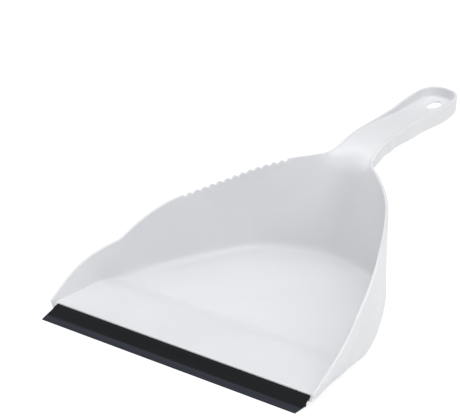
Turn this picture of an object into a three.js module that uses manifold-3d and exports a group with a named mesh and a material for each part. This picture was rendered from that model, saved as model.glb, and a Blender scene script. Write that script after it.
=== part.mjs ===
// Household dustpan: one moulded pan with a hollow handle, and the rubber lip along its front edge.
// Millimetres, +Z up, +Y from the lip to the handle. Lengths along Y are first counted from the
// lip's tip; the whole part is moved at the end so that the origin is under the middle of its box.
import * as THREE from 'three';
import { mergeVertices } from 'three/addons/utils/BufferGeometryUtils.js';
import Module from 'manifold-3d';

const wasm = await Module();
wasm.setup();

// ---- driving dimensions -------------------------------------------------------------------
const PAN_WIDTH = 231;        // across the rim where the pan is widest
const MOUTH_Y = 14;           // front ends of the side walls
const BOWL_DEPTH = 214;       // side walls' front ends to the neck of the handle
const NECK_HEIGHT = 78;       // rim height where the handle begins
const WALL = 2.2;             // side walls, back wall and handle skirt
const FLOOR = 2.2;            // flat floor of the bowl
const FLOOR_FILLET = 6;       // inside corner between floor and walls
const SIDE_DRAFT = 0.3;       // degrees that the side walls lean outwards
const CHEEK_LEAN = 21;        // more of it at the front
const BACK_LEAN = 13;         // and at the back

const CREST_Y = 55;           // top of the front ramp
const CREST_HEIGHT = 9.4;
const RAMP_END_Y = 78;        // where the ramp's back meets the flat floor
const RAMP_SHEET = 2.0;       // thickness of the ramp
const SKIRT_LIFT = 2.0;       // gap under the side walls beside the ramp

const SEAT_Y = 18;            // rebate in the ramp that the lip is bonded into
const SEAT_HEIGHT = 5.0;
const SEAT_LENGTH = 5.5;
const SEAT_SLOPE = 27;        // degrees, downwards to the front
const NOSE_THICKNESS = 1.2;

const LIP_INSET = 2.3;        // the wall's inner face, where the pan is widest, to the strip's end
const LIP_END_TAPER = 1.8;    // the strip's ends narrow by this much away from its fold
const FLANGE_THICKNESS = 1.1;
const HOOK_THICKNESS = 1.4;   // of the flange in front of the ramp's nose
const FOLD_DROP = 0.35;       // the blade's root below the flange's top
const BLADE_THICKNESS = 1.6;  // at the fold
const TIP_THICKNESS = 0.8;
const GAP = 0.3;              // clearance between neighbouring pieces

const HANDLE_LENGTH = 134;    // neck to the handle's end
const SKIRT_HEIGHT = 12.5;    // depth of the handle's hollow section; less at both ends
const SKIRT_LESS = 2.0;
const WEB = 2.2;              // floor of the handle's trough
const TROUGH_DEPTH = 7.4;     // trough at the handle's end
const HOLE_LENGTH = 17;       // oval hole for hanging up
const HOLE_WIDTH = 12;
const HOLE_INSET = 16;        // hole's centre to the handle's end

const TOOTH_COUNT = 13;       // scalloped stretch for combing out a brush, on the -X rim only
const TOOTH_PITCH = 6.4;
const TOOTH_DEPTH = 1.8;
const TOOTH_START_Y = 136;

const WHITE = new THREE.MeshStandardMaterial({ color: 0xe9ebee, roughness: 0.35, metalness: 0 });
const BLACK = new THREE.MeshStandardMaterial({ color: 0x17181b, roughness: 0.55, metalness: 0 });
const CHARCOAL = new THREE.MeshStandardMaterial({ color: 0x2b2e34, roughness: 0.6, metalness: 0 });

const NECK_Y = MOUTH_Y + BOWL_DEPTH;
const LENGTH = NECK_Y + HANDLE_LENGTH;
const FAR = 400;              // longer than anything the cutters pass through

// ---- solids -------------------------------------------------------------------------------
function solid(geometry) {
  const bare = geometry.clone();
  bare.deleteAttribute('normal');
  bare.deleteAttribute('uv');
  const merged = mergeVertices(bare, 1e-4);
  return new wasm.Manifold(new wasm.Mesh({
    numProp: 3,
    vertProperties: new Float32Array(merged.attributes.position.array),
    triVerts: new Uint32Array(merged.index.array),
  }));
}

function mesh(name, manifold, material) {
  const { vertProperties, triVerts, numProp } = manifold.getMesh();
  const positions = new Float32Array((vertProperties.length / numProp) * 3);
  for (let i = 0; i < positions.length / 3; i += 1) {
    positions.set(vertProperties.subarray(i * numProp, i * numProp + 3), i * 3);
  }
  const geometry = new THREE.BufferGeometry();
  geometry.setAttribute('position', new THREE.BufferAttribute(positions, 3));
  geometry.setIndex([...triVerts]);
  geometry.translate(0, -LENGTH / 2, 0);
  geometry.computeVertexNormals();
  const node = new THREE.Mesh(geometry, material);
  node.name = name;
  return node;
}

// Skin between neighbouring rings of points, each counter-clockwise seen from above.
function ringSkin(rings, isLoop) {
  const count = rings[0].length;
  const triangles = [];
  for (let r = 0; r + (isLoop ? 0 : 1) < rings.length; r += 1) {
    const here = r * count;
    const next = ((r + 1) % rings.length) * count;
    for (let i = 0; i < count; i += 1) {
      const j = (i + 1) % count;
      triangles.push([here + i, here + j, next + j], [here + i, next + j, next + i]);
    }
  }
  return triangles;
}

function skinSolid(rings, triangles) {
  const geometry = new THREE.BufferGeometry();
  const positions = rings.flat().flatMap((p) => [p.x, p.y, p.z]);
  geometry.setAttribute('position', new THREE.Float32BufferAttribute(positions, 3));
  geometry.setIndex(triangles.flat());
  return solid(geometry);
}

// Closed column through the rings, capped below the first and above the last.
function columnThrough(rings) {
  const flat = (ring) => ring.map((p) => new THREE.Vector2(p.x, p.y));
  const top = (rings.length - 1) * rings[0].length;
  const below = THREE.ShapeUtils.triangulateShape(flat(rings[0]), []).map(([a, b, c]) => [a, c, b]);
  const above = THREE.ShapeUtils.triangulateShape(flat(rings.at(-1)), [])
    .map(([a, b, c]) => [top + a, top + b, top + c]);
  return skinSolid(rings, [...ringSkin(rings, false), ...below, ...above]);
}

// Closed band whose last ring joins the first one.
function bandThrough(rings) {
  return skinSolid(rings, ringSkin(rings, true));
}

// Side profile, points (y, z), swept across the part's width.
function acrossSolid(profile, width) {
  const geometry = new THREE.ExtrudeGeometry(new THREE.Shape(profile), {
    depth: width, bevelEnabled: false,
  });
  geometry.translate(0, 0, -width / 2);
  geometry.rotateY(Math.PI / 2);
  geometry.rotateX(Math.PI / 2);
  return solid(geometry);
}

// Plan outline, points (x, y), swept upwards.
function uprightSolid(outline, bottom, top) {
  const geometry = new THREE.ExtrudeGeometry(new THREE.Shape(outline), {
    depth: top - bottom, bevelEnabled: false, curveSegments: 16,
  });
  geometry.translate(0, 0, bottom);
  return solid(geometry);
}

const yz = (y, z) => new THREE.Vector2(y, z);
const boxProfile = (y0, y1, z0, z1) => [yz(y0, z0), yz(y1, z0), yz(y1, z1), yz(y0, z1)];
const { smoothstep, degToRad, lerp } = THREE.MathUtils;

// ---- the bowl's rim and walls -------------------------------------------------------------
// The +X half of the rim, from the front to the neck: share of the half width, share of the
// bowl's depth and share of the neck's height. The rim has a small notch between the two runs.
const RIM_FRONT = [
  [0.995, 0.0, 0.10], [1.0, 0.045, 0.175], [1.003, 0.107, 0.271], [0.984, 0.189, 0.368],
  [0.948, 0.262, 0.422], [0.914, 0.314, 0.455],
];
const RIM_REAR = [
  [0.914, 0.314, 0.455], [0.867, 0.405, 0.59], [0.804, 0.493, 0.696], [0.737, 0.579, 0.752],
  [0.629, 0.709, 0.812], [0.494, 0.825, 0.89], [0.328, 0.92, 0.955], [0.17, 0.98, 0.99],
  [0, 1, 1],
];

function rimPoint([across, along, up]) {
  return new THREE.Vector3(across * PAN_WIDTH / 2, MOUTH_Y + along * BOWL_DEPTH, up * NECK_HEIGHT);
}

function rimStations() {
  const front = new THREE.CatmullRomCurve3(RIM_FRONT.map(rimPoint));
  const half = RIM_REAR.map(rimPoint);
  const otherHalf = half.slice(0, -1).reverse().map((p) => new THREE.Vector3(-p.x, p.y, p.z));
  const rear = new THREE.CatmullRomCurve3([...half, ...otherHalf]).getPoints(80).slice(1, 41);
  const points = [...front.getPoints(14), ...rear];
  const ahead = points[0].clone();
  ahead.y -= 2 * MOUTH_Y;
  points.unshift(ahead);
  return points.map((point, i) => {
    const before = points[Math.max(i - 1, 0)];
    const after = points[Math.min(i + 1, points.length - 1)];
    const normal = new THREE.Vector3(after.y - before.y, before.x - after.x, 0).normalize();
    if (i === points.length - 1) normal.set(0, 1, 0);
    return { point, normal };
  });
}

// The front cheeks lean outwards, the sides stand nearly upright with a little draft, and the
// back wall leans away from the floor.
function wallLean(y) {
  const along = (y - MOUTH_Y) / BOWL_DEPTH;
  const cheek = CHEEK_LEAN * (1 - smoothstep(along, 0.1, 0.34));
  const back = BACK_LEAN * smoothstep(along, 0.76, 1);
  return Math.tan(degToRad(SIDE_DRAFT + cheek + back));
}

const STATIONS = rimStations();

// One ring around the walls, moved inwards from the outer face. `heights` gives each station's
// height from its own rim height.
function wallRing(inset, heights) {
  const half = STATIONS.map(({ point, normal }) => {
    const z = heights(point.z);
    const shift = -(inset + (point.z - z) * wallLean(point.y));
    const p = point.clone().addScaledVector(normal, shift);
    p.z = z;
    return p;
  });
  const mirrored = half.slice(0, -1).reverse().map((p) => new THREE.Vector3(-p.x, p.y, p.z));
  return [...half, ...mirrored];
}

const atRim = (rim) => rim;
const at = (z) => () => z;

function wallsSolid() {
  return bandThrough([wallRing(0, at(0)), wallRing(0, atRim), wallRing(WALL, atRim),
    wallRing(WALL, at(0))]);
}

// Everything inside a face of the walls, from below the part to above the rim.
function columnSolid(inset) {
  return columnThrough([wallRing(inset, at(-5)), wallRing(inset, (rim) => rim + 5)]);
}

function floorSolid() {
  const slab = columnThrough([wallRing(WALL / 2, at(0)), wallRing(WALL / 2, at(FLOOR))]);
  return slab.intersect(acrossSolid(boxProfile(RAMP_END_Y, FAR, -1, FAR), FAR));
}

// Round inside corner between the floor and the walls; it runs out into the back of the ramp.
function filletSolid() {
  const steps = 4;
  const rings = [wallRing(WALL / 2, at(FLOOR / 2)), wallRing(WALL / 2, at(FLOOR + FLOOR_FILLET))];
  for (let i = 0; i <= steps; i += 1) {
    const angle = (i / steps) * Math.PI / 2;
    const inset = WALL + FLOOR_FILLET * (1 - Math.cos(angle));
    rings.push(wallRing(inset, at(FLOOR + FLOOR_FILLET * (1 - Math.sin(angle)))));
  }
  rings.push(wallRing(WALL + FLOOR_FILLET, at(FLOOR / 2)));
  return bandThrough(rings).subtract(belowRamp());
}

// ---- the ramp -----------------------------------------------------------------------------
const SEAT_FALL = Math.tan(degToRad(SEAT_SLOPE));
const NOSE_Y = SEAT_Y - SEAT_LENGTH;
const seatHeight = (y) => SEAT_HEIGHT - (SEAT_Y - y) * SEAT_FALL;
const RAMP_FRONT_HEIGHT = seatHeight(SEAT_Y) + (GAP + FLANGE_THICKNESS) / Math.cos(degToRad(SEAT_SLOPE));

// Height of the ramp's top: a straight climb to the crest, then a smooth fall to the floor.
function rampHeight(y) {
  if (y < CREST_Y) {
    return lerp(RAMP_FRONT_HEIGHT, CREST_HEIGHT, (y - SEAT_Y) / (CREST_Y - SEAT_Y));
  }
  return lerp(CREST_HEIGHT, FLOOR, smoothstep(y, CREST_Y - 1, RAMP_END_Y));
}

function rampStations() {
  const fall = 8;
  const stations = [SEAT_Y, CREST_Y];
  for (let i = 1; i <= fall; i += 1) stations.push(lerp(CREST_Y, RAMP_END_Y, i / fall));
  return stations;
}

function rampSolid() {
  const top = rampStations().map((y) => yz(y, rampHeight(y)));
  const nose = [yz(NOSE_Y, seatHeight(NOSE_Y)), yz(SEAT_Y, SEAT_HEIGHT)];
  const under = rampStations().reverse().map((y) => yz(y, Math.max(rampHeight(y) - RAMP_SHEET, 0)));
  under.unshift(yz(RAMP_END_Y + FLOOR_FILLET, FLOOR), yz(RAMP_END_Y + FLOOR_FILLET, 0));
  const underNose = yz(NOSE_Y, seatHeight(NOSE_Y) - NOSE_THICKNESS / Math.cos(degToRad(SEAT_SLOPE)));
  return acrossSolid([...nose, ...top, ...under, underNose], FAR).intersect(columnSolid(WALL / 2));
}

// Everything below the middle of the ramp's sheet, and in front of its crest.
function belowRamp() {
  const middle = rampStations().slice(1).map((y) => yz(y, rampHeight(y) - RAMP_SHEET / 2));
  const ahead = [yz(CREST_Y, FAR), yz(-FAR, FAR), yz(-FAR, -FAR), yz(RAMP_END_Y, -FAR)];
  return acrossSolid([...ahead, ...middle.reverse()], FAR);
}

// Cuts the walls' front ends square and lifts their bottom edges beside the ramp.
function frontTrim() {
  const profile = [yz(-FAR, -FAR), yz(RAMP_END_Y, -FAR), yz(RAMP_END_Y - SKIRT_LIFT, SKIRT_LIFT),
    yz(MOUTH_Y, SKIRT_LIFT), yz(MOUTH_Y, FAR), yz(-FAR, FAR)];
  return acrossSolid(profile, FAR);
}

// ---- the comb on the -X rim ---------------------------------------------------------------
function rimDistance() {
  let along = 0;
  return STATIONS.map(({ point }, i) => {
    if (i > 0) along += point.distanceTo(STATIONS[i - 1].point);
    return along;
  });
}

function rimAt(distances, along) {
  const i = Math.max(distances.findIndex((d) => d >= along), 1);
  const share = (along - distances[i - 1]) / (distances[i] - distances[i - 1]);
  const point = STATIONS[i - 1].point.clone().lerp(STATIONS[i].point, share);
  return { point, normal: STATIONS[i].normal };
}

function combCutters() {
  const distances = rimDistance();
  const first = distances[STATIONS.findIndex(({ point }) => point.y >= TOOTH_START_Y)];
  const radius = TOOTH_PITCH * 0.36;
  const cutters = [];
  for (let i = 0; i <= TOOTH_COUNT; i += 1) {
    const { point, normal } = rimAt(distances, first + i * TOOTH_PITCH);
    const cutter = new THREE.CylinderGeometry(radius, radius, 6 * WALL, 12);
    cutter.rotateZ(Math.PI / 2);
    cutter.rotateZ(Math.atan2(normal.y, -normal.x));
    cutter.translate(-point.x, point.y, point.z + radius - TOOTH_DEPTH);
    cutters.push(solid(cutter));
  }
  return cutters;
}

// ---- the handle ---------------------------------------------------------------------------
// Share of the handle's length, half width, and rise of its rim above the neck.
const HANDLE_STATIONS = [
  [-0.09, 33, -3.6], [-0.05, 24.8, -2.0], [0, 19, 0], [0.1, 16.6, 5.4], [0.2, 16.3, 8.3],
  [0.33, 15.6, 9.6], [0.45, 15.2, 10.1], [0.6, 15.8, 10.6], [0.755, 18.9, 11.3],
  [0.85, 18.5, 12.3], [0.93, 16.1, 13.5], [0.985, 9.4, 14.5], [1, 0, 14.8],
];
const handleY = (along) => NECK_Y + along * HANDLE_LENGTH;

function handleOutline(inset) {
  const half = HANDLE_STATIONS.map(([along, width]) => new THREE.Vector2(width, handleY(along)));
  const points = new THREE.SplineCurve(half).getPoints(48);
  const moved = points.map((p, i) => {
    const before = points[Math.max(i - 1, 0)];
    const after = points[Math.min(i + 1, points.length - 1)];
    const normal = new THREE.Vector2(after.y - before.y, before.x - after.x).normalize();
    if (i === points.length - 1) normal.set(0, 1);
    return p.clone().addScaledVector(normal, -inset);
  });
  return [...moved, ...moved.slice(0, -1).reverse().map((p) => new THREE.Vector2(-p.x, p.y))];
}

const RIM_CURVE = new THREE.SplineCurve(
  HANDLE_STATIONS.map(([along, , rise]) => yz(handleY(along), NECK_HEIGHT + rise)),
).getPoints(60);

function handleRim(y) {
  const next = RIM_CURVE.findIndex((p) => p.x > y);
  if (next < 1) return next === 0 ? RIM_CURVE[0].y : RIM_CURVE.at(-1).y;
  const [a, b] = [RIM_CURVE[next - 1], RIM_CURVE[next]];
  return lerp(a.y, b.y, (y - a.x) / (b.x - a.x));
}

function troughDepth(y) {
  return TROUGH_DEPTH * smoothstep((y - NECK_Y) / HANDLE_LENGTH, 0.02, 0.92);
}

function skirtBottom(y) {
  const along = (y - NECK_Y) / HANDLE_LENGTH;
  const ends = 1 - smoothstep(along, 0, 0.4) + smoothstep(along, 0.78, 1);
  return handleRim(y) - SKIRT_HEIGHT + SKIRT_LESS * ends;
}

// Side profile between two heights that follow the handle, from inside the bowl to past its end.
function handleSlice(lower, upper, from) {
  const steps = 28;
  const low = [];
  const high = [];
  for (let i = 0; i <= steps; i += 1) {
    const y = lerp(from, LENGTH + WALL, i / steps);
    low.push(yz(y, lower(y)));
    high.unshift(yz(y, upper(y)));
  }
  return acrossSolid([...low, ...high], FAR);
}

function handleSolid() {
  const start = handleY(HANDLE_STATIONS[0][0]);
  const webTop = (y) => handleRim(y) - troughDepth(y);
  const body = uprightSolid(handleOutline(0), 0, FAR)
    .intersect(handleSlice(skirtBottom, handleRim, start));
  const inner = uprightSolid(handleOutline(WALL), -1, FAR);
  const trough = inner.intersect(handleSlice(webTop, () => FAR / 2, handleY(0.02)));
  const hollow = inner.intersect(handleSlice(() => -1, (y) => webTop(y) - WEB, start - 1));
  const hole = new THREE.CylinderGeometry(0.5, 0.5, FAR, 28);
  hole.scale(HOLE_WIDTH, 1, HOLE_LENGTH);
  hole.rotateX(Math.PI / 2);
  hole.translate(0, LENGTH - HOLE_INSET, 0);
  return body.subtract(trough).subtract(hollow).subtract(solid(hole));
}

// ---- the moulded pan ----------------------------------------------------------------------
function panSolid() {
  let walls = wallsSolid().subtract(frontTrim());
  for (const cutter of combCutters()) walls = walls.subtract(cutter);
  const handle = handleSolid().subtract(columnSolid(WALL / 2));
  return walls.add(floorSolid()).add(filletSolid()).add(rampSolid()).add(handle);
}

// ---- the rubber lip -----------------------------------------------------------------------
const LIP_WIDTH = PAN_WIDTH - 2 * (WALL + LIP_INSET);
const SLANT = 1 / Math.cos(degToRad(SEAT_SLOPE));
const flangeUnder = (y) => seatHeight(y) + GAP * SLANT;
const flangeTop = (y) => flangeUnder(y) + FLANGE_THICKNESS * SLANT;
const HOOK_REAR = NOSE_Y - GAP;
const HOOK_FRONT = HOOK_REAR - HOOK_THICKNESS;
const FOLD_Y = HOOK_FRONT - GAP - BLADE_THICKNESS / 2;      // line that the blade flexes about
const FOLD_HEIGHT = flangeTop(HOOK_FRONT) - FOLD_DROP - BLADE_THICKNESS / 2;

// Plan of the strip: widest along the fold, a little narrower at its rear edge and at its tip.
function lipPlan() {
  const wide = LIP_WIDTH / 2;
  const narrow = wide - LIP_END_TAPER;
  return [[narrow, SEAT_Y], [-narrow, SEAT_Y], [-wide, FOLD_Y], [-narrow, 0], [narrow, 0], [wide, FOLD_Y]]
    .map(([x, y]) => new THREE.Vector2(x, y));
}

function lipPiece(profile) {
  return acrossSolid(profile, LIP_WIDTH).intersect(uprightSolid(lipPlan(), -1, FAR));
}

// Bonded part: lies on the ramp's seat and hooks down over its nose.
function flangeSolid() {
  const rear = SEAT_Y - GAP;
  return lipPiece([yz(HOOK_FRONT, GAP), yz(HOOK_REAR, GAP), yz(HOOK_REAR, flangeUnder(HOOK_REAR)),
    yz(rear, flangeUnder(rear)), yz(rear, flangeTop(rear)), yz(HOOK_FRONT, flangeTop(HOOK_FRONT))]);
}

// Flexing part: a blade that thins towards its tip, with a round root on the fold line.
function bladeSolid() {
  const radius = BLADE_THICKNESS / 2;
  const root = [];
  for (let i = 0; i <= 8; i += 1) {
    const angle = degToRad(lerp(-82, 98, i / 8));
    root.push(yz(FOLD_Y + radius * Math.cos(angle), FOLD_HEIGHT + radius * Math.sin(angle)));
  }
  return lipPiece([yz(TIP_THICKNESS / 2, 0), ...root, yz(TIP_THICKNESS / 3, TIP_THICKNESS),
    yz(0, TIP_THICKNESS / 2)]);
}

const dustpan = new THREE.Group();
dustpan.add(mesh('pan_body', panSolid(), WHITE));
dustpan.add(mesh('lip_flange', flangeSolid(), BLACK));
dustpan.add(mesh('lip_blade', bladeSolid(), CHARCOAL));

export default dustpan;
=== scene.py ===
import math
import bpy
import numpy as np
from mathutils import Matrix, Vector


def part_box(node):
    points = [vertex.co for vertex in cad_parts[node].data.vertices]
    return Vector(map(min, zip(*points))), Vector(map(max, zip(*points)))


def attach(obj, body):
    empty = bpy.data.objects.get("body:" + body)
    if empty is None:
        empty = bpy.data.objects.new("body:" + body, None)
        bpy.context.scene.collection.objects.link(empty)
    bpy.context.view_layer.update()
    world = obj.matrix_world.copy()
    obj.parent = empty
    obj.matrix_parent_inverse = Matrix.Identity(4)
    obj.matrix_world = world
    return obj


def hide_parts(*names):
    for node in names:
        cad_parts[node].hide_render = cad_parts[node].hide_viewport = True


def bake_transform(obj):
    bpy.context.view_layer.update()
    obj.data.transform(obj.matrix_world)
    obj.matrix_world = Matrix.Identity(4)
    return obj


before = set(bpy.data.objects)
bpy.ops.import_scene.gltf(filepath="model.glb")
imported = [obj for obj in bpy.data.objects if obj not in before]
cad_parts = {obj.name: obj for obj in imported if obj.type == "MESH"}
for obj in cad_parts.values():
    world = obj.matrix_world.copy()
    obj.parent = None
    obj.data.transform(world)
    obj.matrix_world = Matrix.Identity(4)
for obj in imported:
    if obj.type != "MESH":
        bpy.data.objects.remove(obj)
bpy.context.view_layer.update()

# ---- driving sizes, in millimetres --------------------------------------------------------
# Lengths along Y are counted from the lip's tip, as in the frame's own source.
MM = 0.001
TIP_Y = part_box("lip_blade")[0].y / MM
PAN_WIDTH = 231.0
MOUTH_Y = 14.0
BOWL_DEPTH = 214.0
NECK_HEIGHT = 78.0
WALL = 2.2
FLOOR = 2.2
FLOOR_FILLET = 6.5
RAMP_FILLET = 0.9
SIDE_DRAFT = 0.0
CHEEK_LEAN = 21.0
BACK_LEAN = 14.5
CREST_Y = 55.0
CREST_HEIGHT = 9.4
RAMP_END_Y = 84.0
SKIRT_LIFT = 2.0
SEAT_Y = 18.0
SEAT_HEIGHT = 5.0
SEAT_SLOPE = 27.0
NOSE_Y = 14.8
FLANGE_THICKNESS = 1.1
GAP = 0.3
LIP_WIDTH = 222.8
LIP_REAR_TAPER = 0.72
LIP_FRONT_TAPER = 0.9
LIP_EDGE_ROUND = 0.16
FOLD_Y = 9.7
HANDLE_LENGTH = 134.0
SKIRT_HEIGHT = 12.5
SKIRT_LESS = 2.0
TROUGH_START = 0.9
TROUGH_DEPTH = 7.4
HOLE_LENGTH = 15.0
HOLE_WIDTH = 10.6
HOLE_INSET = 17.2
TOOTH_COUNT = 13
TOOTH_PITCH = 6.4
TOOTH_DEPTH = 1.9
TOOTH_START_Y = 136.0
EDGE = 0.8                 # distance from an edge to the loop that keeps it tight
NECK_Y = MOUTH_Y + BOWL_DEPTH
LENGTH = NECK_Y + HANDLE_LENGTH

# ---- where one shape turns into the next --------------------------------------------------
CHEEK_SHARE = (0.1, 0.31)         # stretch of the bowl over which the cheeks' lean fades
BACK_SHARE = (0.79, 1.0)          # stretch over which the back wall's lean comes in
FILLET_Y = (60.0, 86.0)           # stretch over which the ramp's fillet opens to the floor's
TROUGH_SHARE = (0.28, 0.96)       # stretch of the handle over which its trough deepens
SKIRT_NECK_SHARE = (0.0, 0.4)     # stretches over which the handle's skirt is shallower
SKIRT_END_SHARE = (0.78, 1.0)
RAMP_SKIRT_Y = (46.0, 66.0)       # stretch over which the ramp's skirt runs out
RAMP_SKIRT_RISE = 1.8
FLARE_Y = (175.0, 205.0)          # stretch over which the foot of the side walls stops flaring
FLARE = 1.1
FLARE_ABOVE = 0.6


def clamp(value, low=0.0, high=1.0):
    return max(low, min(high, value))


def smoothstep(value, low, high):
    t = clamp((value - low) / (high - low))
    return t * t * (3 - 2 * t)


def lerp(a, b, t):
    return a + (b - a) * t


def placed(x, y, z):
    """A point of the pan, in metres in the frame."""
    return Vector((x, y + TIP_Y, z)) * MM


# ---- curves -------------------------------------------------------------------------------
def curve_through(points, per_span):
    """Smooth curve through the points, with the spans' lengths taken into account."""
    points = [np.array(p, float) for p in points]
    ends = [2 * points[0] - points[1], *points, 2 * points[-1] - points[-2]]
    made = []
    for k in range(1, len(ends) - 2):
        p0, p1, p2, p3 = ends[k - 1:k + 3]
        d0, d1, d2 = (math.sqrt(np.linalg.norm(b - a)) for a, b in ((p0, p1), (p1, p2), (p2, p3)))
        m1 = ((p1 - p0) / d0 - (p2 - p0) / (d0 + d1) + (p2 - p1) / d1) * d1
        m2 = ((p2 - p1) / d1 - (p3 - p1) / (d1 + d2) + (p3 - p2) / d2) * d1
        for n in range(per_span):
            t = n / per_span
            made.append((2 * t**3 - 3 * t**2 + 1) * p1 + (t**3 - 2 * t**2 + t) * m1
                        + (3 * t**2 - 2 * t**3) * p2 + (t**3 - t**2) * m2)
    made.append(points[-1])
    return np.array(made)


class Path:
    """A line of points that can be read at any distance along it."""

    def __init__(self, points):
        self.points = np.array(points, float)
        steps = np.linalg.norm(np.diff(self.points, axis=0), axis=1)
        self.distance = np.concatenate([[0], np.cumsum(steps)])

    def at(self, along):
        return np.array([np.interp(along, self.distance, self.points[:, k])
                         for k in range(self.points.shape[1])])

    def normal(self, along, reach=1.5):
        """Outward in plan: to the right of the way that the line runs."""
        ahead = self.at(along + reach) - self.at(along - reach)
        size = math.hypot(ahead[0], ahead[1])
        return np.array([ahead[1] / size, -ahead[0] / size])

    def where_y(self, y):
        return float(np.interp(y, self.points[:, 1], self.distance))


# The +X half of the bowl's rim, from the front to the neck: shares of the half width, of the
# bowl's depth and of the neck's height, with a small notch between the two runs.
RIM_FRONT = [
    (1.001, 0.0, 0.11), (1.002, 0.045, 0.178), (1.003, 0.107, 0.271), (0.984, 0.189, 0.368),
    (0.948, 0.262, 0.422), (0.914, 0.314, 0.455),
]
RIM_REAR = [
    (0.914, 0.314, 0.455), (0.875, 0.405, 0.582), (0.819, 0.493, 0.68), (0.747, 0.579, 0.74),
    (0.626, 0.709, 0.811), (0.494, 0.825, 0.89), (0.328, 0.92, 0.955), (0.17, 0.98, 0.99),
    (0.0, 1.0, 1.0), (-0.17, 0.98, 0.99),
]
# Share of the handle's length, half width, and rise of its rim above the neck.
HANDLE_STATIONS = [
    (-0.09, 33.2, -2.9), (-0.05, 25.1, -1.4), (0, 19.1, 0.4), (0.1, 16.6, 5.5), (0.2, 16.3, 8.3),
    (0.33, 15.6, 9.6), (0.45, 15.2, 10.1), (0.6, 15.8, 10.6), (0.755, 18.2, 11.0),
    (0.85, 18.1, 12.0), (0.93, 16.2, 13.4), (0.983, 10.2, 14.3), (1, 0, 14.6),
]


def rim_place(share):
    across, along, up = share
    return (across * PAN_WIDTH / 2, MOUTH_Y + along * BOWL_DEPTH, up * NECK_HEIGHT)


def bowl_rim():
    front = curve_through([rim_place(p) for p in RIM_FRONT], 12)
    rear = curve_through([rim_place(p) for p in RIM_REAR], 12)[:-12]
    return Path(np.concatenate([front, rear[1:]]))


def handle_rim():
    shape = [(width, NECK_Y + along * HANDLE_LENGTH, NECK_HEIGHT + rise)
             for along, width, rise in HANDLE_STATIONS]
    return Path(curve_through(shape, 12))


RIM = bowl_rim()
HANDLE = handle_rim()


def wall_lean(y):
    """Slope of the wall, as a shift for each millimetre of drop."""
    along = (y - MOUTH_Y) / BOWL_DEPTH
    cheek = CHEEK_LEAN * (1 - smoothstep(along, *CHEEK_SHARE))
    back = BACK_LEAN * smoothstep(along, *BACK_SHARE)
    return math.tan(math.radians(SIDE_DRAFT + cheek + back))


def wall_point(along, z, inset):
    """A point of the bowl's wall, level z, moved inwards from its outer face."""
    x, y, top = RIM.at(along)
    n = RIM.normal(along)
    shift = inset + (top - z) * wall_lean(y)
    return np.array([x - n[0] * shift, y - n[1] * shift, z])


def seat_height(y):
    return SEAT_HEIGHT - (SEAT_Y - y) * math.tan(math.radians(SEAT_SLOPE))


RAMP_FRONT = SEAT_HEIGHT + (GAP + FLANGE_THICKNESS) / math.cos(math.radians(SEAT_SLOPE))


def floor_height(y):
    """Top of the ramp and of the floor behind it."""
    if y < SEAT_Y - 0.05:
        return seat_height(y)
    if y < CREST_Y:
        return lerp(RAMP_FRONT, CREST_HEIGHT, (y - SEAT_Y) / (CREST_Y - SEAT_Y))
    return lerp(CREST_HEIGHT, FLOOR, smoothstep(y, CREST_Y - 1, RAMP_END_Y))


def fillet(y):
    return lerp(RAMP_FILLET, FLOOR_FILLET, smoothstep(y, *FILLET_Y))


def handle_share(y):
    return (y - NECK_Y) / HANDLE_LENGTH


def handle_top(y):
    return float(np.interp(y, HANDLE.points[:, 1], HANDLE.points[:, 2]))


def trough(y):
    return lerp(TROUGH_START, TROUGH_DEPTH, smoothstep(handle_share(y), *TROUGH_SHARE))


def web_height(y):
    return handle_top(y) - trough(y)


def skirt_bottom(y):
    along = handle_share(y)
    neck = 1 - smoothstep(along, *SKIRT_NECK_SHARE)
    end = smoothstep(along, *SKIRT_END_SHARE)
    return handle_top(y) - SKIRT_HEIGHT + SKIRT_LESS * (neck + end)


# ---- where the pan's loops lie ------------------------------------------------------------
REAR_POINTS = 20                            # from about here on, the rim narrows to the neck


def rim_at_x(x):
    """Distance along the bowl's rim of its rear point at x."""
    return float(np.interp(-x, -RIM.points[REAR_POINTS:, 0], RIM.distance[REAR_POINTS:]))


def evenly(start, end, step):
    """Places from start to end, about a step apart, without the first one."""
    count = max(1, round((end - start) / step))
    return [lerp(start, end, k / count) for k in range(1, count + 1)]


FRONT_RIM_Y = (MOUTH_Y, 15.9, 17.4, 19.2)   # loops over the seat and its step
LAST_RIM_X = 36.0                           # last loop before the rim turns on to the handle
NOTCH_LOOP = 2.0
FRONT_STEP = 6.6
LOOP_STEP = 6.4
REAR_STEP = 6.0


def bowl_stations():
    """Distances along the bowl's rim of the loops that run up its walls."""
    notch = RIM.where_y(rim_place(RIM_FRONT[-1])[1])
    comb = RIM.where_y(TOOTH_START_Y) - TOOTH_PITCH
    comb_end = comb + (TOOTH_COUNT + 2) * TOOTH_PITCH
    last = rim_at_x(LAST_RIM_X)
    stations = [RIM.where_y(y) for y in FRONT_RIM_Y]
    stations += evenly(stations[-1], notch - NOTCH_LOOP, FRONT_STEP) + [notch, notch + NOTCH_LOOP]
    stations += evenly(notch + NOTCH_LOOP, comb, LOOP_STEP)
    stations += evenly(comb, comb_end, TOOTH_PITCH / 2)
    if last - comb_end > NOTCH_LOOP:
        stations += evenly(comb_end, last, REAR_STEP)
    return stations


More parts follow.
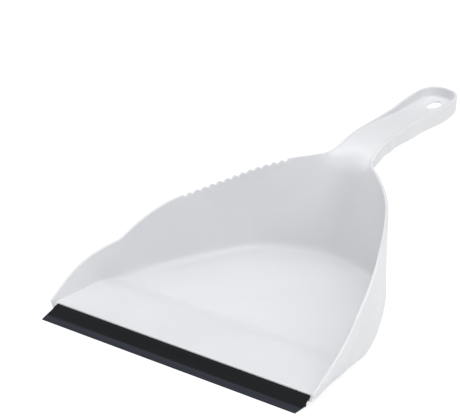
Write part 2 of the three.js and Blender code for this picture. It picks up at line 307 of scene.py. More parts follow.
STATIONS = bowl_stations()
NECK_RIM_Y = (217.0, 221.8, 226.0)          # loops where the rim turns on to the handle
CORNER = len(STATIONS) + len(NECK_RIM_Y) - 1
NECK_X = (29.5, 22.5, 16.0)                 # where their walls hang from the bowl's own rim
NECK_ALONG = [rim_at_x(x) for x in NECK_X]
WEB_X = (16.0, 14.2, 9.5, 4.8, 0.0)         # the web's columns, from its corner to the middle
WEB_ALONG = [rim_at_x(x) for x in WEB_X]
WEB_SHARE = (0.0, 0.0, 1 / 3, 2 / 3, 1.0)   # the same on the handle, as shares of its width
WEB_SUPPORT = 1.5                           # the column beside the corner keeps this distance
WALL_SHARE = (0.0, 0.2, 0.4, 0.6, 0.8, 1.0)       # rows of the wall, as shares of its height
NECK_SHARE = (0.0, 0.08, 0.17, 0.42, 0.7, 1.0)    # the same under the handle
FLOOR_SHARE = (0.0, 0.03, 0.34, 0.67, 1.0)        # rows of the floor, from its edge inwards
ROW_TOP = 2                                 # the row where the rim band meets the wall


def column(i):
    """Distance along the bowl's rim, and the plan place and height of the rim's outer edge."""
    if i < len(STATIONS):
        along = STATIONS[i]
        x, y, z = RIM.at(along)
        return along, np.array([x, y]), z, RIM.normal(along)
    k = i - len(STATIONS)
    y = NECK_RIM_Y[k]
    there = HANDLE.where_y(y)
    x, y, z = HANDLE.at(there)
    return NECK_ALONG[k], np.array([x, y]), z, HANDLE.normal(there)


EDGE_ROUNDS = 3                             # enough for the floor's edge to settle


def floor_edge(i):
    """Where a column meets the floor, with its own fillet."""
    along = column(i)[0]
    y = RIM.at(along)[1]
    z = floor_height(y)
    for _ in range(EDGE_ROUNDS):
        radius = fillet(y)
        point = wall_point(along, z, WALL + radius)
        y = point[1]
        z = floor_height(y)
    front = {0: NOSE_Y, 1: SEAT_Y - 0.1, 2: SEAT_Y, 3: SEAT_Y + EDGE}
    if i in front:
        point[1] = front[i]
        z = floor_height(point[1])
        radius = RAMP_FILLET
    point[2] = z
    return point, radius


def corner_level(i):
    return floor_edge(i)[0][2] + floor_edge(i)[1]


BAND_DROP = 2.6                             # the rim band's depth
BAND_LIMIT = 0.4                            # and the share of a low wall that it keeps to
BAND_INSET = 0.6


def rim_band(i, row):
    """Rim rows of the bowl's part: the edge, its support loop and the first row of the wall."""
    along, place, top, n = column(i)
    if row == 2 and i == CORNER:
        return saddle(0, 0.5)
    if row == 2:
        low = corner_level(i)
        drop = min(BAND_DROP, BAND_LIMIT * (top - low))
        bowl = wall_point(along, top - drop, WALL)
        turned = np.array([*(place - n * (WALL + BAND_INSET)), top - drop])
        share = smoothstep(i, len(STATIONS) - 2, CORNER)
        return bowl * (1 - share) + turned * share
    inset = WALL + (0.1 if row else 0)
    drop = EDGE if row else 0
    return np.array([*(place - n * inset), top - drop])


WEB_INSET = 0.3                             # draft of the trough's walls
SADDLE_SPREAD = (10.0, 14.5)                # the saddle's reach, at the web's corner and middle


def saddle(k, t):
    """The round between the back wall and the handle's web, at web column k."""
    along = WEB_ALONG[k]
    level = web_height(NECK_RIM_Y[-1])
    high = wall_point(along, level, WALL)
    spread = lerp(*SADDLE_SPREAD, k / (len(WEB_X) - 1))
    low = wall_point(along, level - spread, WALL)
    far = web_point(k, high[1] + spread - 1)
    return low * (1 - t)**2 + high * 2 * t * (1 - t) + far * t**2


def web_point(k, y):
    """The web's column k at y, where the handle starts."""
    half = HANDLE.at(HANDLE.where_y(y))[0] - WALL - WEB_INSET
    x = half - WEB_SUPPORT if k == 1 else half * (1 - WEB_SHARE[k])
    return np.array([x, y, web_height(y)])


def wall_row(i, row):
    """Wall and fillet rows, from the first row under the rim band down to the floor."""
    point = wall_place(i, row)
    is_middle = i == CORNER + len(WEB_X) - 1
    if is_middle:
        point[0] = 0
    return point


FILLET_ROW = 0.24                           # where the fillet's middle row lies between its ends
NECK_COLUMNS = 5                            # columns over which the rows crowd up to the saddle


def wall_place(i, row):
    k = i - CORNER
    if k >= 0 and row <= ROW_TOP + 2:
        return saddle(k, (0.5, 0.25, 0.0)[row - ROW_TOP])
    if k < 0 and row == ROW_TOP:
        return rim_band(i, row)
    along = WEB_ALONG[k] if k >= 0 else column(i)[0]
    edge, radius = floor_edge_at(along) if k >= 0 else floor_edge(i)
    if row == ROW_TOP + 7:
        return edge
    if row == ROW_TOP + 6:
        side = wall_point(along, edge[2] + radius, WALL)
        return np.array([*lerp(side[:2], edge[:2], FILLET_ROW), edge[2] + radius * FILLET_ROW])
    top = rim_band(min(i, CORNER), ROW_TOP)[2]
    share = row - ROW_TOP
    near = smoothstep(i, CORNER - NECK_COLUMNS, CORNER)
    drop = lerp(WALL_SHARE[share], NECK_SHARE[share], near)
    return wall_point(along, lerp(top, edge[2] + radius, drop), WALL)


def floor_edge_at(along):
    """Where the back wall meets the level floor, and its fillet."""
    return wall_point(along, FLOOR, WALL + FLOOR_FILLET), FLOOR_FILLET


FLOOR_END = RAMP_END_Y + 10                 # the floor's rows run straight across up to here
FLOOR_BACK = 181.0                          # and this is where the last one meets the middle
FLOOR_SUPPORT = 2.0                         # the row beside the edge keeps this distance
FLOOR_NARROW = 4.0


def floor_row(i, row):
    """Rows of the floor, from its edge to the pan's middle."""
    edge = floor_edge(i)[0]
    y = edge[1]
    rear = floor_edge(CORNER)[0][1]
    middle = y
    if y >= FLOOR_END:
        middle = lerp(FLOOR_END, FLOOR_BACK, (y - FLOOR_END) / (rear - FLOOR_END))
    share = FLOOR_SHARE[row]
    point = np.array([edge[0] * (1 - share), lerp(y, middle, share), 0.0])
    if row == 1:
        width = max(np.hypot(edge[0], edge[1] - middle), FLOOR_NARROW)
        point = edge + (np.array([0, middle, 0]) - edge) * (FLOOR_SUPPORT / width)
    point[2] = floor_height(point[1]) if y > SEAT_Y + 0.5 else edge[2]
    return point


# ---- the handle's loops -------------------------------------------------------------------
SKIRT_START_Y = 231.0                       # the handle's skirt starts behind the back wall
WEB_START_Y = 237.5                         # the saddle ends and the level web starts
HOLE_CLEAR = 2.0
HANDLE_STEP = 7.2
END_STEP = 4.4


def handle_loops():
    """Distances along the handle's outline, from the neck's corner to its end."""
    last = HANDLE.distance[-1]
    hole = HANDLE.where_y(LENGTH - HOLE_INSET - HOLE_LENGTH / 2 - HOLE_CLEAR)
    straight = [HANDLE.where_y(y) for y in (NECK_RIM_Y[-1], SKIRT_START_Y, WEB_START_Y)]
    straight += evenly(straight[-1], hole, HANDLE_STEP)
    return straight, evenly(hole, last, END_STEP)


STRAIGHT, ROUND_END = handle_loops()
LOOPS = STRAIGHT + ROUND_END


def handle_edge(h):
    """The handle's outline at loop h, and which way is outward there."""
    there = LOOPS[h]
    point = HANDLE.at(there)
    n = HANDLE.normal(there) if h < len(LOOPS) - 1 else np.array([0.0, 1.0])
    return point, n


def handle_band(h, row):
    """Rim rows of the handle, as rim_band gives them for the bowl."""
    point, n = handle_edge(h)
    if row == ROW_TOP:
        return web_row(h, 0)
    inset = WALL + (0.05 if row else 0)
    return np.array([*(point[:2] - n * inset), point[2] - (EDGE if row else 0)])


SADDLE_LOOPS = 3                            # loops that lie on the saddle
SUPPORT = 1.2                               # from the web's corner to the column beside it
BEFORE_HOLE = 0.45                          # share of the way from there to the hole


def web_row(h, k):
    """A point of the web: loop h along the handle, column k from its corner to the middle."""
    if h < SADDLE_LOOPS:
        point = saddle(k, (0.5, 0.75, 1.0)[h])
        if k == len(WEB_X) - 1:
            point[0] = 0
        return point
    point, n = handle_edge(h)
    corner = point[:2] - n * (WALL + WEB_INSET)
    support = corner - n * SUPPORT
    middle = np.array([0.0, point[1]])
    if h >= len(STRAIGHT) - 1:
        turn = lerp(-90, 90, (h - len(STRAIGHT) + 1) / len(ROUND_END))
        angle = math.radians(turn)
        middle = np.array([HOLE_WIDTH / 2 * math.cos(angle),
                           LENGTH - HOLE_INSET + HOLE_LENGTH / 2 * math.sin(angle)])
    if k == 0:
        place = corner
    elif k == 1:
        place = support
    else:
        share = WEB_SHARE[k]
        near_hole = smoothstep(h, len(STRAIGHT) - 2, len(STRAIGHT))
        if k == 3:
            gap = max(np.linalg.norm(middle - support), SUPPORT)
            share = lerp(share, 1 - EDGE / gap, near_hole)
        if k == 2:
            share = lerp(share, BEFORE_HOLE, near_hole)
        place = support + (middle - support) * share
    is_end = h == len(LOOPS) - 1
    is_middle = k == len(WEB_X) - 1 and h < len(STRAIGHT)
    if is_end or is_middle:
        place[0] = 0
    return np.array([place[0], place[1], web_height(place[1])])


# ---- making meshes ------------------------------------------------------------------------
def deselect():
    if bpy.context.mode != "OBJECT":
        bpy.ops.object.mode_set(mode="OBJECT")
    bpy.ops.object.select_all(action="DESELECT")


def active(obj):
    deselect()
    obj.select_set(True)
    bpy.context.view_layer.objects.active = obj


def apply_modifier(obj, kind, **settings):
    active(obj)
    modifier = obj.modifiers.new(kind.title(), kind)
    for name, value in settings.items():
        setattr(modifier, name, value)
    bpy.ops.object.modifier_apply(modifier=modifier.name)


BAND, SIDE, BASE, WEB = range(4)            # the sheet's four panels
STEP = 1000                                 # keeps a vertex's panel, column and row in one number
MERGE = 0.02


def panel(kind, columns, rows, point, strip=None):
    """A grid laid out one by one: the vertex at column i and row j goes to point(i, j).
    Faces for which strip(i, j) is true are marked, to be drawn down into a skirt later."""
    deselect()
    bpy.ops.mesh.primitive_grid_add(x_subdivisions=columns - 1, y_subdivisions=rows - 1, size=1)
    obj = bpy.context.object
    obj.data.attributes.new("place", "INT", "POINT")
    obj.data.attributes.new("mark", "INT", "FACE")
    place = obj.data.attributes["place"]
    mark = obj.data.attributes["mark"]
    for v, vertex in enumerate(obj.data.vertices):
        i, j = v % columns, v // columns
        vertex.co = placed(*point(i, j))
        place.data[v].value = (kind * STEP + i) * STEP + j
    for f in range(len(obj.data.polygons)):
        i, j = f % (columns - 1), f // (columns - 1)
        if strip and strip(i, j):
            mark.data[f].value = kind
    return obj


def join(name, pieces):
    """Joins the pieces into the first one."""
    deselect()
    for piece in pieces:
        piece.select_set(True)
    bpy.context.view_layer.objects.active = pieces[0]
    bpy.ops.object.join()
    obj = bpy.context.object
    obj.name = name
    obj.data.name = name
    return obj


def pick(obj, kind, chosen):
    """Selects in code what an edit works on: vertices, edges or faces for which chosen is true."""
    active(obj)
    part = {"VERT": "vertices", "EDGE": "edges", "FACE": "polygons"}[kind]
    wanted = [bool(chosen(item)) for item in getattr(obj.data, part)]
    bpy.ops.object.mode_set(mode="EDIT")
    bpy.ops.mesh.select_mode(type=kind)
    bpy.ops.mesh.select_all(action="DESELECT")
    bpy.ops.object.mode_set(mode="OBJECT")
    getattr(obj.data, part).foreach_set("select", wanted)
    bpy.ops.object.mode_set(mode="EDIT")


def facing_up(obj):
    """Makes the sheet's faces agree, with the floor's faces looking up."""
    pick(obj, "FACE", lambda face: True)
    bpy.ops.mesh.remove_doubles(threshold=MERGE * MM)
    bpy.ops.mesh.normals_make_consistent(inside=False)
    bpy.ops.object.mode_set(mode="OBJECT")
    level = max(obj.data.polygons, key=lambda face: abs(face.normal.z) * face.area)
    if level.normal.z < 0:
        pick(obj, "FACE", lambda face: True)
        bpy.ops.mesh.flip_normals()
        bpy.ops.object.mode_set(mode="OBJECT")


# ---- the moulded pan ----------------------------------------------------------------------
SHORTEST_SKIRT = 0.6


def has_skirt(i):
    """True for the columns whose wall reaches down beside the ramp."""
    edge = floor_edge(i)[0]
    return i > 2 and edge[2] - WALL > SKIRT_LIFT + SHORTEST_SKIRT


def pan_sheet():
    """The +X half of the pan's inner face, as one sheet."""
    def band(i, row):
        return rim_band(i, row) if i <= CORNER else handle_band(i - CORNER, row)

    pieces = [
        panel(BAND, CORNER + len(LOOPS), 3, band),
        panel(SIDE, CORNER + len(WEB_X), 8, lambda i, j: wall_row(i, j + ROW_TOP)),
        panel(BASE, CORNER + 1, len(FLOOR_SHARE), floor_row,
              strip=lambda i, j: j == 0 and has_skirt(i) and has_skirt(i + 1)),
        panel(WEB, len(LOOPS), len(WEB_X), web_row, strip=lambda i, j: j == 0 and i > 0),
    ]
    obj = join("dustpan_body", pieces)
    facing_up(obj)
    apply_modifier(obj, "MIRROR", use_clip=True, merge_threshold=MERGE * MM)
    return obj


def close_floor(obj):
    """Fills what is left of the level floor, between the last column and the back wall."""
    uses = {}
    for face in obj.data.polygons:
        for key in face.edge_keys:
            uses[key] = uses.get(key, 0) + 1
    rear = placed(0, FLOOR_BACK - 25, 0).y
    level = placed(0, 0, FLOOR + 0.1).z
    points = obj.data.vertices

    def is_gap(edge):
        low = all(points[v].co.z < level and points[v].co.y > rear for v in edge.vertices)
        return low and uses.get(tuple(sorted(edge.vertices)), 0) == 1

    pick(obj, "EDGE", is_gap)
    bpy.ops.mesh.edge_face_add()
    bpy.ops.object.mode_set(mode="OBJECT")


def outer_place(kind, i, j, co):
    """Where the outer face keeps its corners, instead of following the inner one evenly."""
    side = math.copysign(1, co.x)
    new = None
    if kind == WEB and i > 0 and j <= 1:
        point, n = handle_edge(i)
        inset = 0 if j == 0 else WALL
        new = np.array([*(point[:2] - n * inset), 0.0])
        new[2] = web_height(new[1]) - WALL
    if kind == SIDE and j >= 5 and i < CORNER + len(WEB_X):
        row = {5: 0, 6: 1, 7: 2}[j]
        new = base_corner(i, row)
    if kind == BASE and j <= 1:
        new = base_corner(i, 2 + j)
    if new is None:
        return co
    if abs(co.x) < 1e-6:
        new[0] = 0
    return placed(side * new[0], new[1], new[2])


FOOT_LEAD = 3.0                             # the foot reaches the ground this far before the floor
FOOT_ROW = 0.4
FOOT_LIFT = 1.1                             # the foot's round starts this far off the ground
FOOT_ROUND = 0.3
FOOT_SUPPORT = 2.0


def base_corner(i, row):
    """Outer corner of the wall's foot: rows 0 to 3 from the wall round to the underside."""
    k = i - CORNER
    along = WEB_ALONG[k] if k > 0 else column(i)[0]
    edge, radius = floor_edge_at(along) if k > 0 else floor_edge(i)
    y, under = edge[1], edge[2] - WALL
    if y < RAMP_END_Y:
        foot = max(under, SKIRT_LIFT) if y > SEAT_Y + 0.5 else SKIRT_LIFT
        if y > RAMP_END_Y - FOOT_LEAD:
            foot = 0.0
        upper = edge[2] + radius
        z = (upper, lerp(foot, upper, FOOT_ROW), foot, foot)[row]
        inset = (0, 0, 0, WALL)[row]
    else:
        z = (edge[2] + radius, FOOT_LIFT, 0.0, 0.0)[row]
        flare = 1 - smoothstep(y, *FLARE_Y)
        inset = (0, -FLARE_ABOVE * flare, FOOT_ROUND - FLARE * flare,
                 radius + WALL + FOOT_SUPPORT)[row]
    new = wall_point(along, z, inset)
    if i < len(FRONT_RIM_Y):
        new[1] = max(lerp(new[1], y, (0, FOOT_ROW, 1, 1)[row]), MOUTH_Y)
    return new


def thicken(obj):
    """Gives the sheet its wall and puts the outer corners in place."""
    inner = len(obj.data.vertices)
    apply_modifier(obj, "SOLIDIFY", thickness=WALL * MM, offset=-1, use_even_offset=True,
                   thickness_clamp=0)
    place = obj.data.attributes["place"].data
    for v in range(inner, len(obj.data.vertices)):
        code = place[v].value
        vertex = obj.data.vertices[v]
        vertex.co = outer_place(code // STEP // STEP, code // STEP % STEP, code % STEP, vertex.co)
        vertex.co.z = max(vertex.co.z, 0)
    return inner


def draw_skirt(obj, inner, kind, depth):
    """Draws the marked strips of the outer face down, to depth(y) and then to the skirt's edge."""
    mark = obj.data.attributes["mark"].data
    pick(obj, "FACE", lambda face: mark[face.index].value == kind and min(face.vertices) >= inner)
    for lift in (EDGE, 0):
        bpy.ops.mesh.extrude_region_move()
        bpy.ops.object.mode_set(mode="OBJECT")
        for vertex in obj.data.vertices:
            if vertex.select:
                vertex.co.z = (depth(vertex.co.y / MM - TIP_Y) + lift) * MM
                if kind == WEB:
                    into_back_wall(vertex)
        bpy.ops.object.mode_set(mode="EDIT")
    bpy.ops.object.mode_set(mode="OBJECT")


END_REACH = 1.5                             # the skirt's first loop lies this near its start
END_SPREAD = 1.0                            # and spreads this far sideways into the wall


def into_back_wall(vertex):
    """Runs the front end of the handle's skirt into the bowl's back wall."""
    x, y, z = abs(vertex.co.x) / MM, vertex.co.y / MM - TIP_Y, vertex.co.z / MM
    if y > SKIRT_START_Y + END_REACH:
        return
    point = wall_point(rim_at_x(x + END_SPREAD), z, WALL / 2)
    vertex.co = placed(math.copysign(point[0], vertex.co.x), point[1], z)


def ramp_skirt_bottom(y):
    return SKIRT_LIFT + RAMP_SKIRT_RISE * smoothstep(y, *RAMP_SKIRT_Y)


def pan_body():
    obj = pan_sheet()
    close_floor(obj)
    inner = thicken(obj)
    draw_skirt(obj, inner, BASE, ramp_skirt_bottom)
    draw_skirt(obj, inner, WEB, skirt_bottom)
    apply_modifier(obj, "SUBSURF", levels=2, render_levels=2)
    cut_comb(obj)
    active(obj)
    bpy.ops.object.shade_smooth()
    return obj


COMB_REACH = 3.6                            # how far below the rim a scallop is still felt
COMB_ENDS = 8.0                             # length of rim beside the comb that is looked at
COMB_INNER_X = 20.0
COMB_LOW_Z = 40.0
SAMPLE = 0.25


def cut_comb(obj):
    """Scallops the toothed stretch of the -X rim."""
    first = RIM.where_y(TOOTH_START_Y)
    last = first + TOOTH_COUNT * TOOTH_PITCH
    stretch = [k for k, d in enumerate(RIM.distance) if first - COMB_ENDS < d < last + COMB_ENDS]
    line = Path(RIM.points[stretch])
    base = RIM.distance[stretch[0]]
    dense = np.arange(0, line.distance[-1], SAMPLE)
    points = np.array([line.at(d) for d in dense])
    for vertex in obj.data.vertices:
        x, y, z = vertex.co.x / MM, vertex.co.y / MM - TIP_Y, vertex.co.z / MM
        if x > -COMB_INNER_X or y < TOOTH_START_Y - COMB_ENDS or z < COMB_LOW_Z:
            continue
        away = np.hypot(points[:, 0] + x, points[:, 1] - y)
        near = int(np.argmin(away))
        below = points[near, 2] - z
        if away[near] > 2 * WALL or below > COMB_REACH:
            continue
        drop = comb_depth(dense[near] + base - first)
        vertex.co.z -= drop * (1 - smoothstep(below, 0, COMB_REACH)) * MM


TOOTH_FADE = 0.4                            # share of a pitch over which the comb starts and ends
TOOTH_LOWER = 0.35                          # the teeth's tips lie this far under the plain rim
TOOTH_SHARPNESS = 1.4


def comb_depth(along):
    """How far the rim is cut at a distance from the first notch."""
    run = TOOTH_COUNT * TOOTH_PITCH
    fade = TOOTH_PITCH * TOOTH_FADE
    if along < -fade or along > run + fade:
        return 0.0
    wave = 0.5 + 0.5 * math.cos(2 * math.pi * along / TOOTH_PITCH)
    ends = smoothstep(along, -fade, 0) * (1 - smoothstep(along, run, run + fade))
    return ends * (TOOTH_LOWER + TOOTH_DEPTH * wave**TOOTH_SHARPNESS)


# ---- the rubber lip -----------------------------------------------------------------------
SLANT = 1 / math.cos(math.radians(SEAT_SLOPE))
BEVEL_END_Y = 5.7                           # the tip's bevelled face, where a lighter sheen is painted, ends here


def flange_under(y):
    return seat_height(y) + GAP * SLANT


def flange_top(y):
    return flange_under(y) + FLANGE_THICKNESS * SLANT


def lip_section():
    """Section of the strip, points (y, z): flange, fold, blade and its bevelled tip."""
    rear = SEAT_Y - 2 * GAP
    hook = 12.2
    top = [(rear, flange_top(rear) - GAP), (14.2, flange_top(14.2)), (10.9, flange_top(10.9)),
           (10.2, 2.66), (9.7, 2.53), (9.1, 2.45), (8.4, 2.34), (BEVEL_END_Y, 1.86)]
    tip = [(0.45, 0.78), (0.08, 0.52), (0.0, 0.3), (0.04, 0.04), (0.4, 0.0)]
    under = [(8.4, 0.72), (9.1, 0.8), (9.7, 0.82), (10.3, 0.62), (10.9, 0.34), (hook, 0.3),
             (hook, flange_under(hook)), (14.2, flange_under(14.2)), (rear, flange_under(rear))]
    return top + tip + under


def lip_end(y):
    """Half the strip's length at y: it is longest at the fold."""
    rear = clamp((y - FOLD_Y) / (SEAT_Y - FOLD_Y))
    front = clamp((FOLD_Y - y) / FOLD_Y)
    return LIP_WIDTH / 2 - LIP_REAR_TAPER * rear - LIP_FRONT_TAPER * front


def lip_strip():
    section = lip_section()
    deselect()
    bpy.ops.mesh.primitive_circle_add(vertices=len(section), fill_type="NGON")
    obj = bpy.context.object
    obj.name = obj.data.name = "rubber_lip"
    for vertex, (y, z) in zip(obj.data.vertices, section):
        vertex.co = placed(-lip_end(y), y, z)
    pick(obj, "FACE", lambda face: True)
    bpy.ops.mesh.extrude_region_move(TRANSFORM_OT_translate={"value": (LIP_WIDTH * MM, 0, 0)})
    bpy.ops.object.mode_set(mode="OBJECT")
    for vertex in obj.data.vertices:
        if vertex.co.x > 0:
            vertex.co.x = lip_end(vertex.co.y / MM - TIP_Y) * MM
    pick(obj, "FACE", lambda face: True)
    bpy.ops.mesh.normals_make_consistent(inside=False)
    bpy.ops.object.mode_set(mode="OBJECT")
    apply_modifier(obj, "BEVEL", width=LIP_EDGE_ROUND * MM, segments=3, limit_method="ANGLE",
                   angle_limit=math.radians(24))
    active(obj)
    bpy.ops.object.shade_smooth_by_angle(angle=math.radians(20))
    return obj


# ---- materials ----------------------------------------------------------------------------
def new_group(name, inputs, outputs):
    group = bpy.data.node_groups.new(name, "ShaderNodeTree")
    for label, value in inputs.items():
        socket = group.interface.new_socket(label, in_out="INPUT", socket_type="NodeSocketFloat")
        socket.default_value = value
    for label in outputs:
        group.interface.new_socket(label, in_out="OUTPUT", socket_type="NodeSocketFloat")
    return group, group.nodes.new("NodeGroupInput"), group.nodes.new("NodeGroupOutput")


def moulded_surface():
    """Fine orange peel of a moulded face, and slow changes of tone along the flow."""
    group, given, out = new_group("moulded_surface", {"Peel Scale": 900, "Flow Scale": 14},
                                  ["Peel", "Flow", "Scuffs"])
    nodes, links = group.nodes, group.links
    where = nodes.new("ShaderNodeTexCoord")
    peel = nodes.new("ShaderNodeTexNoise")
    peel.inputs["Detail"].default_value = 3
    links.new(where.outputs["Object"], peel.inputs["Vector"])
    links.new(given.outputs["Peel Scale"], peel.inputs["Scale"])
    links.new(peel.outputs["Fac"], out.inputs["Peel"])
    flow = nodes.new("ShaderNodeTexNoise")
    flow.inputs["Detail"].default_value = 4
    flow.inputs["Distortion"].default_value = 1.2
    links.new(where.outputs["Object"], flow.inputs["Vector"])
    links.new(given.outputs["Flow Scale"], flow.inputs["Scale"])
    links.new(flow.outputs["Fac"], out.inputs["Flow"])
    long = nodes.new("ShaderNodeMapping")
    long.inputs["Scale"].default_value = (40, 400, 400)
    links.new(where.outputs["Object"], long.inputs["Vector"])
    lines = nodes.new("ShaderNodeTexNoise")
    lines.inputs["Scale"].default_value = 3
    lines.inputs["Detail"].default_value = 2
    links.new(long.outputs["Vector"], lines.inputs["Vector"])
    sharp = nodes.new("ShaderNodeMapRange")
    sharp.inputs["From Min"].default_value = 0.62
    sharp.inputs["From Max"].default_value = 0.75
    links.new(lines.outputs["Fac"], sharp.inputs["Value"])
    links.new(sharp.outputs["Result"], out.inputs["Scuffs"])
    return group


def new_material(name):
    material = bpy.data.materials.new(name)
    material.use_nodes = True
    nodes = material.node_tree.nodes
    shader = nodes.get("Principled BSDF")
    return material, nodes, material.node_tree.links, shader


def place_group(nodes, group, **values):
    node = nodes.new("ShaderNodeGroup")
    node.node_tree = group
    for label, value in values.items():
        node.inputs[label.replace("_", " ")].default_value = value
    return node


def tone(nodes, links, value, dark, light, low=0.3, high=0.7):
    """A colour between dark and light as the value goes from low to high."""
    ramp = nodes.new("ShaderNodeValToRGB")
    ramp.color_ramp.elements[0].position = low
    ramp.color_ramp.elements[0].color = (*dark, 1)
    ramp.color_ramp.elements[1].position = high
    ramp.color_ramp.elements[1].color = (*light, 1)
    links.new(value, ramp.inputs["Fac"])
    return ramp.outputs["Color"]


def ranged(nodes, links, value, low, high, start=0.3, end=0.7):
    node = nodes.new("ShaderNodeMapRange")
    node.inputs["From Min"].default_value = start
    node.inputs["From Max"].default_value = end
    node.inputs["To Min"].default_value = low
    node.inputs["To Max"].default_value = high
    links.new(value, node.inputs["Value"])
    return node.outputs["Result"]


def bumped(nodes, links, height, distance, strength):
    bump = nodes.new("ShaderNodeBump")
    bump.inputs["Distance"].default_value = distance
    bump.inputs["Strength"].default_value = strength
    links.new(height, bump.inputs["Height"])
    return bump.outputs["Normal"]


def white_polypropylene(surface):
    material, nodes, links, shader = new_material("white_polypropylene")
    grain = place_group(nodes, surface, Peel_Scale=700, Flow_Scale=11)
    colour = tone(nodes, links, grain.outputs["Flow"], (0.712, 0.72, 0.745), (0.742, 0.75, 0.77))
    links.new(colour, shader.inputs["Base Color"])
    links.new(ranged(nodes, links, grain.outputs["Flow"], 0.29, 0.36), shader.inputs["Roughness"])
    links.new(bumped(nodes, links, grain.outputs["Peel"], 0.00004, 0.5), shader.inputs["Normal"])
    shader.inputs["IOR"].default_value = 1.49
    return material


def strip_lines_and_sheen():
    """Mask of the tip's bevelled face, where a lighter sheen of the bright surroundings is painted,
    and the fine lines that an extruded strip has along its length.
    """
    group, given, out = new_group("strip_lines_and_sheen", {"Tip": 0, "Bevel End": 0.001},
                                  ["Ground", "Lines"])
    nodes, links = group.nodes, group.links
    where = nodes.new("ShaderNodeTexCoord")
    axes = nodes.new("ShaderNodeSeparateXYZ")
    links.new(where.outputs["Object"], axes.inputs["Vector"])
    sheen_face = nodes.new("ShaderNodeMapRange")
    sheen_face.interpolation_type = "SMOOTHSTEP"
    sheen_face.inputs["To Min"].default_value = 1
    sheen_face.inputs["To Max"].default_value = 0
    links.new(axes.outputs["Y"], sheen_face.inputs["Value"])
    links.new(given.outputs["Tip"], sheen_face.inputs["From Min"])
    links.new(given.outputs["Bevel End"], sheen_face.inputs["From Max"])
    links.new(sheen_face.outputs["Result"], out.inputs["Ground"])
    long = nodes.new("ShaderNodeMapping")
    long.inputs["Scale"].default_value = (6, 1400, 1400)
    links.new(where.outputs["Object"], long.inputs["Vector"])
    lines = nodes.new("ShaderNodeTexNoise")
    lines.inputs["Scale"].default_value = 1
    lines.inputs["Detail"].default_value = 2
    links.new(long.outputs["Vector"], lines.inputs["Vector"])
    links.new(lines.outputs["Fac"], out.inputs["Lines"])
    return group


def black_rubber(surface, strip):
    """Black on the strip's top, and a lighter bluish grey on its tip's bevelled face, a painted
    sheen of the bright surroundings.
    """
    material, nodes, links, shader = new_material("black_rubber")
    bevel_end = placed(0, BEVEL_END_Y, 0).y
    blur = GAP * MM
    sheen_face = place_group(nodes, strip, Tip=bevel_end - blur, Bevel_End=bevel_end + blur)
    grain = place_group(nodes, surface, Peel_Scale=1500, Flow_Scale=30)
    top = tone(nodes, links, grain.outputs["Flow"], (0.003, 0.0035, 0.0048), (0.006, 0.0065, 0.0085))
    # painted sheen: the tip's bevelled face is painted lighter and bluer, as the bright surroundings
    # would show in it, streaked by the strip's lines
    tip = tone(nodes, links, sheen_face.outputs["Lines"], (0.017, 0.02, 0.029), (0.03, 0.034, 0.046))
    both = nodes.new("ShaderNodeMix")
    both.data_type = "RGBA"
    links.new(sheen_face.outputs["Ground"], both.inputs["Factor"])
    links.new(top, both.inputs["A"])
    links.new(tip, both.inputs["B"])
    links.new(both.outputs["Result"], shader.inputs["Base Color"])
    links.new(ranged(nodes, links, grain.outputs["Flow"], 0.44, 0.54), shader.inputs["Roughness"])
    links.new(bumped(nodes, links, sheen_face.outputs["Lines"], 0.00004, 0.5), shader.inputs["Normal"])
    shader.inputs["Specular IOR Level"].default_value = 0.1
    return material


# ---- the scene ----------------------------------------------------------------------------
SOFTBOXES = {                               # place and side in metres, power in watts
    "softbox_top": ((0.1, 0.1, 1.8), 1.6, 18.5),
    "softbox_right": ((1.7, -0.1, 1.3), 1.2, 12.5),
    "softbox_left": ((-1.6, -0.1, 1.0), 1.2, 5),
    "softbox_back_left": ((-0.8, 0.4, 1.3), 0.5, 1.6),
    "softbox_front": ((0.1, -1.7, 0.9), 1.2, 6.8),
}
LIT_POINT = Vector((0, 0, 0.03))
CAMERA_AIM = Vector((-0.0541, -0.0329, 0.0495))
CAMERA_AZIMUTH = math.radians(37)           # from straight in front of the lip towards +X
CAMERA_ELEVATION = math.radians(24.27)
CAMERA_DISTANCE = 1.4841
CAMERA_LENS = 156.5


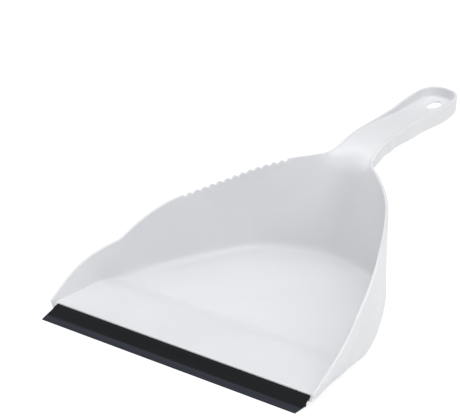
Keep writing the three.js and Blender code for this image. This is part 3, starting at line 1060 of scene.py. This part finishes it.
def studio():
    """Pale floor, even pale surroundings and softboxes."""
    scene = bpy.context.scene
    scene.view_settings.view_transform = "Standard"
    world = bpy.data.worlds.new("studio")
    scene.world = world
    world.use_nodes = True
    world.node_tree.nodes["Background"].inputs["Color"].default_value = (1, 1, 1, 1)
    world.node_tree.nodes["Background"].inputs["Strength"].default_value = 0.31
    bpy.ops.mesh.primitive_plane_add(size=12)
    floor = bpy.context.object
    floor.name = "floor"
    material, _, _, shader = new_material("pale_floor")
    shader.inputs["Base Color"].default_value = (0.45, 0.45, 0.45, 1)
    shader.inputs["Roughness"].default_value = 0.9
    shader.inputs["Emission Color"].default_value = (1, 1, 1, 1)
    shader.inputs["Emission Strength"].default_value = 0.62
    floor.data.materials.append(material)
    for name, (place, size, power) in SOFTBOXES.items():
        softbox(name, place, size, power)


def softbox(name, place, size, power):
    light = bpy.data.lights.new(name, "AREA")
    light.shape = "SQUARE"
    light.size = size
    light.energy = power
    obj = bpy.data.objects.new(name, light)
    bpy.context.scene.collection.objects.link(obj)
    obj.location = place
    obj.rotation_mode = "QUATERNION"
    obj.rotation_quaternion = (LIT_POINT - obj.location).to_track_quat("-Z", "Y")


def camera_at():
    data = bpy.data.cameras.new("camera")
    data.sensor_width = 36
    data.lens = CAMERA_LENS
    obj = bpy.data.objects.new("camera", data)
    bpy.context.scene.collection.objects.link(obj)
    level = math.cos(CAMERA_ELEVATION)
    back = Vector((math.sin(CAMERA_AZIMUTH) * level, -math.cos(CAMERA_AZIMUTH) * level,
                   math.sin(CAMERA_ELEVATION)))
    obj.location = CAMERA_AIM + back * CAMERA_DISTANCE
    obj.rotation_mode = "QUATERNION"
    obj.rotation_quaternion = (-back).to_track_quat("-Z", "Y")
    bpy.context.scene.camera = obj


SURFACE = moulded_surface()
studio()
camera_at()

body = pan_body()
body.data.materials.append(white_polypropylene(SURFACE))
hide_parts("pan_body")
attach(body, "pan")

lip = lip_strip()
lip.data.materials.append(black_rubber(SURFACE, strip_lines_and_sheen()))
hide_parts("lip_flange", "lip_blade")
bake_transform(lip)
